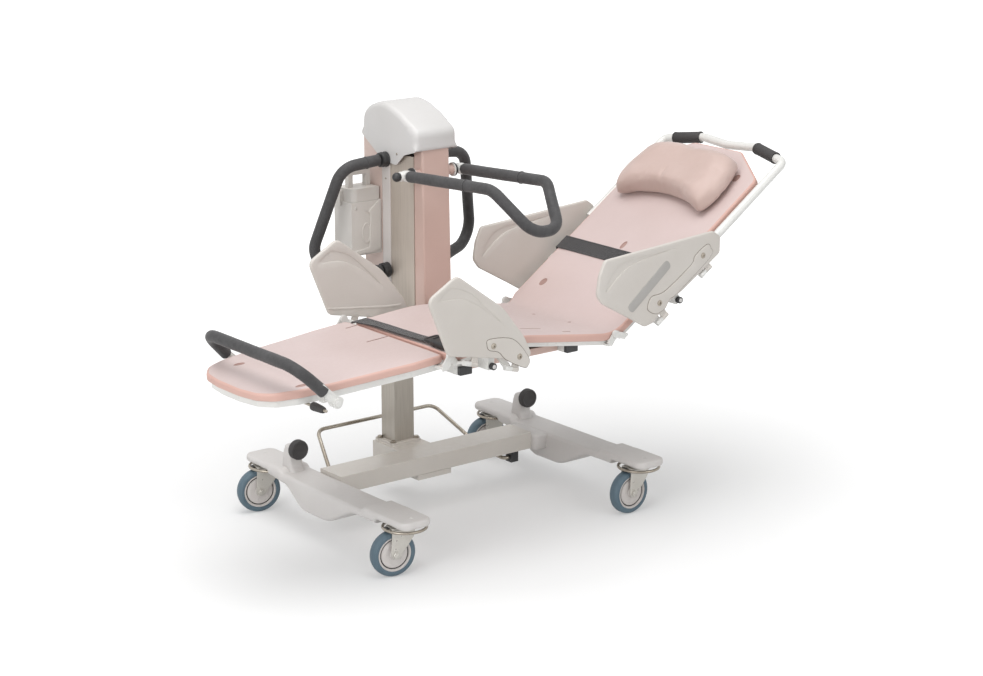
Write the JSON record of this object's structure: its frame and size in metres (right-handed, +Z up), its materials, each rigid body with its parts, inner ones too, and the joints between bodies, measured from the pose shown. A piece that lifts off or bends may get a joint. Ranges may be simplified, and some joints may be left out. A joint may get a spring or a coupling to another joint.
{
  "type": "shower trolley",
  "caption": "Height-adjustable shower trolley: padded three-section bed with raised back and side panels, on an offset lifting column over an H-shaped base with swivel castors.",
  "frame": {"origin": "on the floor, under the middle of the trolley's outline as posed", "axes": "+X from the foot of the bed to its head, +Y from the open side to the column, +Z up"},
  "size_m": [1.718, 0.859, 1.153],
  "materials": {
    "steel_paint": "satin powder coat",
    "leg_shell": "satin moulded shell",
    "stainless": "brushed",
    "black_rubber": "matt",
    "dark_steel": "satin",
    "foam": "matt foam",
    "pink_shell": "satin moulded shell",
    "ivory_shell": "satin moulded shell",
    "battery_shell": "satin",
    "handle_sockets": "satin",
    "white_frame": "gloss powder coat",
    "black_plastic": "satin",
    "pan_shell": "satin",
    "pad_skin": "soft moulded foam skin",
    "pillow_skin": "soft moulded foam skin",
    "webbing": "woven webbing",
    "bare_steel": "brushed",
    "panel_shell": "satin moulded shell",
    "tyre_blue": "satin"
  },
  "bodies": {
    "base": {"base_beam": "steel_paint", "leg_covers": "leg_shell", "rubber_buffers": "black_rubber", "mast_foot": "steel_paint", "mast_bolts": "stainless", "mast": "stainless", "jack_tube": "stainless", "pedal_blocks": "dark_steel"},
    "pedal": {"pedal_bar": "stainless"},
    "lift": {"lift_sleeve": "stainless", "front_cover": "pink_shell", "rear_cover": "pink_shell", "side_plates": "ivory_shell", "head_cap": "ivory_shell", "lift_motor": "dark_steel", "battery_holder": "ivory_shell", "push_handles": "dark_steel", "push_grips": "foam", "handle_cups": "handle_sockets", "arm_frame": "white_frame", "arm_caps": "black_plastic", "under_pan": "pan_shell", "seat_frame": "white_frame", "seat_pad": "pad_skin", "thigh_strap": "webbing"},
    "battery": {"battery_pack": "battery_shell"},
    "latch": {"battery_latch": "battery_shell"},
    "rail": {"grab_rail": "dark_steel", "grab_rail_foam": "foam"},
    "back": {"back_frame": "white_frame", "back_pad": "pad_skin", "pillow": "pillow_skin", "head_handle": "white_frame", "head_grips": "black_plastic", "chest_strap": "webbing"},
    "leg": {"leg_frame": "white_frame", "leg_pad": "pad_skin"},
    "release": {"release_bar": "dark_steel"},
    "foot_rail": {"foot_bar": "bare_steel", "foot_bar_foam": "foam"},
    "seat_panel_near": {"seat_panel_near": "panel_shell"},
    "back_panel_near": {"back_panel_near": "panel_shell"},
    "seat_knob_near": {"seat_knob_near": "black_plastic"},
    "back_knob_near": {"back_knob_near": "black_plastic"},
    "seat_panel_far": {"seat_panel_far": "panel_shell"},
    "back_panel_far": {"back_panel_far": "panel_shell"},
    "seat_knob_far": {"seat_knob_far": "black_plastic"},
    "back_knob_far": {"back_knob_far": "black_plastic"},
    "castor_near_head": {"fork_near_head": "stainless"},
    "roller_near_head": {"wheel_near_head": "tyre_blue"},
    "brake_near_head": {"brake_ring_near_head": "stainless"},
    "castor_near_foot": {"fork_near_foot": "stainless"},
    "roller_near_foot": {"wheel_near_foot": "tyre_blue"},
    "brake_near_foot": {"brake_ring_near_foot": "stainless"},
    "castor_far_foot": {"fork_far_foot": "stainless"},
    "roller_far_foot": {"wheel_far_foot": "tyre_blue"},
    "brake_far_foot": {"brake_ring_far_foot": "stainless"},
    "castor_far_head": {"fork_far_head": "stainless"},
    "roller_far_head": {"wheel_far_head": "tyre_blue"},
    "brake_far_head": {"brake_ring_far_head": "stainless"}
  },
  "joints": [
    {"name": "pedal_turn", "type": "hinge", "parent": "base", "child": "pedal", "pos_m": [-0.03778, 0.1145, 0.086], "axis": [1, 0, 0], "range_deg": [-10, 8]},
    {"name": "lift_column", "type": "slide", "parent": "base", "child": "lift", "axis": [0, 0, 1], "range_m": [0, 0.4]},
    {"name": "battery_slide", "type": "slide", "parent": "lift", "child": "battery", "axis": [0, 0, 1], "range_m": [0, 0.185]},
    {"name": "latch_turn", "type": "hinge", "parent": "lift", "child": "latch", "pos_m": [-0.21077, 0.2925, 0.888], "axis": [1, 0, 0], "range_deg": [0, 90]},
    {"name": "rail_flip", "type": "hinge", "parent": "lift", "child": "rail", "pos_m": [-0.03778, 0.0895, 0.968], "axis": [-1, 0, 0], "range_deg": [0, 95]},
    {"name": "back_tilt", "type": "hinge", "parent": "lift", "child": "back", "pos_m": [0.21222, -0.1555, 0.57], "axis": [0, -1, 0], "range_deg": [-34.8, 12]},
    {"name": "leg_tilt", "type": "hinge", "parent": "lift", "child": "leg", "pos_m": [-0.34377, -0.1555, 0.604], "axis": [0, 1, 0], "range_deg": [-25, 4]},
    {"name": "release_twist", "type": "hinge", "parent": "leg", "child": "release", "pos_m": [-0.73075, -0.1555, 0.53283], "axis": [0, 1, 0], "range_deg": [-20, 20]},
    {"name": "foot_rail_fold", "type": "hinge", "parent": "leg", "child": "foot_rail", "pos_m": [-0.69034, -0.1555, 0.54268], "axis": [0, 1, 0], "range_deg": [0, 68]},
    {"name": "seat_panel_near_fold", "type": "hinge", "parent": "lift", "child": "seat_panel_near", "pos_m": [-0.37378, -0.4215, 0.602], "axis": [0.9659, 0, -0.2588], "range_deg": [0, 170]},
    {"name": "back_panel_near_fold", "type": "hinge", "parent": "back", "child": "back_panel_near", "pos_m": [0.24533, -0.4215, 0.52237], "axis": [0.8211, 0, 0.5707], "range_deg": [0, 170]},
    {"name": "seat_knob_near_pull", "type": "slide", "parent": "lift", "child": "seat_knob_near", "axis": [0, -1, 0], "range_m": [0, 0.008], "stiffness_N_per_m": 200},
    {"name": "back_knob_near_pull", "type": "slide", "parent": "back", "child": "back_knob_near", "axis": [0, -1, 0], "range_m": [0, 0.008], "stiffness_N_per_m": 200},
    {"name": "seat_panel_far_fold", "type": "hinge", "parent": "lift", "child": "seat_panel_far", "pos_m": [-0.37378, 0.1105, 0.602], "axis": [-0.9659, 0, 0.2588], "range_deg": [0, 16]},
    {"name": "back_panel_far_fold", "type": "hinge", "parent": "back", "child": "back_panel_far", "pos_m": [0.24533, 0.1105, 0.52237], "axis": [-0.8211, 0, -0.5707], "range_deg": [0, 16]},
    {"name": "seat_knob_far_pull", "type": "slide", "parent": "lift", "child": "seat_knob_far", "axis": [0, 1, 0], "range_m": [0, 0.008], "stiffness_N_per_m": 200},
    {"name": "back_knob_far_pull", "type": "slide", "parent": "back", "child": "back_knob_far", "axis": [0, 1, 0], "range_m": [0, 0.008], "stiffness_N_per_m": 200},
    {"name": "swivel_near_head", "type": "hinge", "parent": "base", "child": "castor_near_head", "pos_m": [0.40523, -0.2785, 0.14], "axis": [0, 0, 1], "continuous": true},
    {"name": "roll_near_head", "type": "hinge", "parent": "castor_near_head", "child": "roller_near_head", "pos_m": [0.36923, -0.2785, 0.0625], "axis": [0, 1, 0], "continuous": true},
    {"name": "brake_near_head_tread", "type": "hinge", "parent": "castor_near_head", "child": "brake_near_head", "pos_m": [0.35523, -0.2785, 0.13], "axis": [0, 1, 0], "range_deg": [0, 7]},
    {"name": "swivel_near_foot", "type": "hinge", "parent": "base", "child": "castor_near_foot", "pos_m": [-0.40877, -0.2785, 0.14], "axis": [0, 0, 1], "continuous": true},
    {"name": "roll_near_foot", "type": "hinge", "parent": "castor_near_foot", "child": "roller_near_foot", "pos_m": [-0.44423, -0.27225, 0.0625], "axis": [0.1736, 0.9848, 0], "continuous": true},
    {"name": "brake_near_foot_tread", "type": "hinge", "parent": "castor_near_foot", "child": "brake_near_foot", "pos_m": [-0.45802, -0.26982, 0.13], "axis": [0.1736, 0.9848, 0], "range_deg": [0, 7]},
    {"name": "swivel_far_foot", "type": "hinge", "parent": "base", "child": "castor_far_foot", "pos_m": [-0.40877, 0.3675, 0.14], "axis": [0, 0, 1], "continuous": true},
    {"name": "roll_far_foot", "type": "hinge", "parent": "castor_far_foot", "child": "roller_far_foot", "pos_m": [-0.44385, 0.3756, 0.0625], "axis": [0.225, 0.9744, 0], "continuous": true},
    {"name": "brake_far_foot_tread", "type": "hinge", "parent": "castor_far_foot", "child": "brake_far_foot", "pos_m": [-0.45749, 0.37875, 0.13], "axis": [0.225, 0.9744, 0], "range_deg": [0, 7]},
    {"name": "swivel_far_head", "type": "hinge", "parent": "base", "child": "castor_far_head", "pos_m": [0.40523, 0.3675, 0.14], "axis": [0, 0, 1], "continuous": true},
    {"name": "roll_far_head", "type": "hinge", "parent": "castor_far_head", "child": "roller_far_head", "pos_m": [0.37001, 0.37499, 0.0625], "axis": [0.2079, 0.9781, 0], "continuous": true},
    {"name": "brake_far_head_tread", "type": "hinge", "parent": "castor_far_head", "child": "brake_far_head", "pos_m": [0.35632, 0.3779, 0.13], "axis": [0.2079, 0.9781, 0], "range_deg": [0, 7]}
  ]
}
